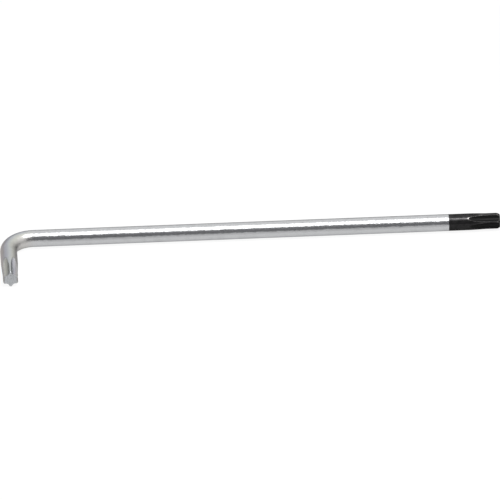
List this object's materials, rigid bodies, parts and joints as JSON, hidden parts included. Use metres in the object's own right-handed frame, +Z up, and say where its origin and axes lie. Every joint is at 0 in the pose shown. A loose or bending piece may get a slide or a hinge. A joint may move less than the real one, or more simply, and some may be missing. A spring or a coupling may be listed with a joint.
{
  "type": "star key",
  "caption": "L-shaped star key: a round steel bar, bent through a right angle, with a lobed star drive at both ends and a black long tip.",
  "frame": {"origin": "on the surface the key lies on, under the middle of its outer box", "axes": "+X along the long arm towards the black tip, -Y along the short arm towards its tip, +Z up from the flat side the key lies on"},
  "size_m": [0.1656, 0.0295, 0.0056],
  "materials": {
    "satin_chrome": "satin chrome plating over a drawn steel bar, fine-grained and softly reflecting",
    "black_tip": "black burnished steel with a soft sheen and bare steel just showing at the edges"
  },
  "bodies": {
    "root": {"long_star_tip": "black_tip", "long_arm": "satin_chrome", "bend": "satin_chrome", "short_arm": "satin_chrome", "short_star_tip": "satin_chrome"}
  },
  "joints": []
}
